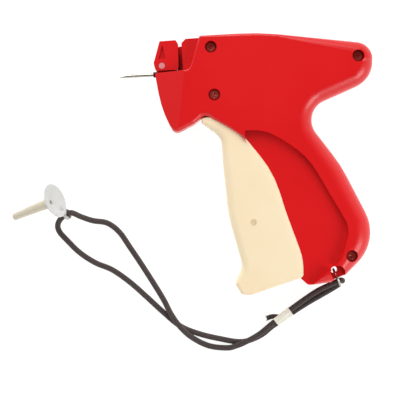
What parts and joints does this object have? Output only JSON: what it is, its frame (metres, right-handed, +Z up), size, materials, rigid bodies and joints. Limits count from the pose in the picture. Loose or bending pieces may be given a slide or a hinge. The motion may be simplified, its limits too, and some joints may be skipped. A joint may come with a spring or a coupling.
{
  "type": "tag attaching gun",
  "caption": "Hand-held tag attaching gun with a slotted needle, squeeze trigger, lever-driven ejector, tag feed slot and wrist cord with a needle cap.",
  "frame": {"origin": "centre of the gun's own box in X and Y, on the surface it lies on", "axes": "-X the way the needle points, +Y from the handle's foot to the top of the head, +Z up out of the left casing half, away from the surface the gun lies on"},
  "size_m": [0.2066, 0.1768, 0.026],
  "materials": {
    "red_shell": "glossy moulded",
    "cream_trigger": "glossy moulded",
    "white_nylon": "moulded",
    "plain_steel": "machined",
    "spring_wire": "drawn wire",
    "blackened_steel": "blackened",
    "needle_steel": "ground tube",
    "gate_pin_pale": "moulded",
    "bright_screws": "bright",
    "ring_wire": "bright wire",
    "braided_cord": "braided",
    "crimp_sheet": "bright folded",
    "cap_nylon": "translucent"
  },
  "bodies": {
    "casing": {"left_casing": "red_shell", "right_casing": "red_shell", "trigger_pivot_tube": "plain_steel", "drive_lever_pin": "plain_steel", "feed_wheel_axle": "plain_steel", "feed_pawl_pin": "plain_steel", "pawl_spring": "spring_wire", "return_spring": "spring_wire", "feed_track": "plain_steel", "cutter_blade": "needle_steel", "needle": "needle_steel", "needle_base": "blackened_steel", "gate_pin": "gate_pin_pale", "casing_screws": "bright_screws", "wrist_cord": "braided_cord", "cord_crimp": "crimp_sheet", "needle_cap": "cap_nylon"},
    "trigger": {"trigger": "cream_trigger", "trigger_cross_pin": "plain_steel"},
    "lever": {"drive_lever": "plain_steel"},
    "slide": {"slide_carriage": "white_nylon", "slide_cross_pin": "plain_steel", "ejector_rod": "plain_steel"},
    "feed_wheel": {"feed_wheel": "white_nylon"},
    "pawl": {"feed_pawl": "white_nylon"},
    "gate": {"needle_gate": "red_shell"},
    "ring": {"strap_ring": "ring_wire"}
  },
  "joints": [
    {"name": "trigger_squeeze", "type": "hinge", "parent": "casing", "child": "trigger", "pos_m": [-0.018, 0.0394, 0.013], "axis": [0, 0, 1], "range_deg": [0, 14], "stiffness_Nm_per_rad": 1.5, "springref_deg": -17.19, "deforming": ["return_spring"]},
    {"name": "lever_swing", "type": "hinge", "parent": "casing", "child": "lever", "pos_m": [0.017, -0.002, 0.013], "axis": [0, 0, 1], "range_deg": [0, 33.2]},
    {"name": "slide_stroke", "type": "slide", "parent": "casing", "child": "slide", "axis": [-1, 0, 0], "range_m": [0, 0.0328]},
    {"name": "feed_wheel_turn", "type": "hinge", "parent": "casing", "child": "feed_wheel", "pos_m": [-0.0306, 0.0436, 0.013], "axis": [0, 0, 1], "continuous": true},
    {"name": "pawl_lift", "type": "hinge", "parent": "casing", "child": "pawl", "pos_m": [-0.0315, 0.0318, 0.013], "axis": [0, 0, 1], "range_deg": [0, 10], "stiffness_Nm_per_rad": 0.02, "springref_deg": -5.73, "deforming": ["pawl_spring"]},
    {"name": "gate_open", "type": "hinge", "parent": "casing", "child": "gate", "pos_m": [-0.0463, 0.0571, 0.013], "axis": [0, 0, 1], "range_deg": [0, 30]},
    {"name": "ring_turn", "type": "hinge", "parent": "casing", "child": "ring", "pos_m": [0.0452, -0.0656, 0.012], "axis": [0.9361, 0.3518, 0], "continuous": true}
  ],
  "couplings": [
    {"joint": "lever_swing", "follows": "trigger_squeeze", "ratio": 2.37},
    {"joint": "slide_stroke", "follows": "trigger_squeeze", "m_per_rad": 0.13383}
  ]
}
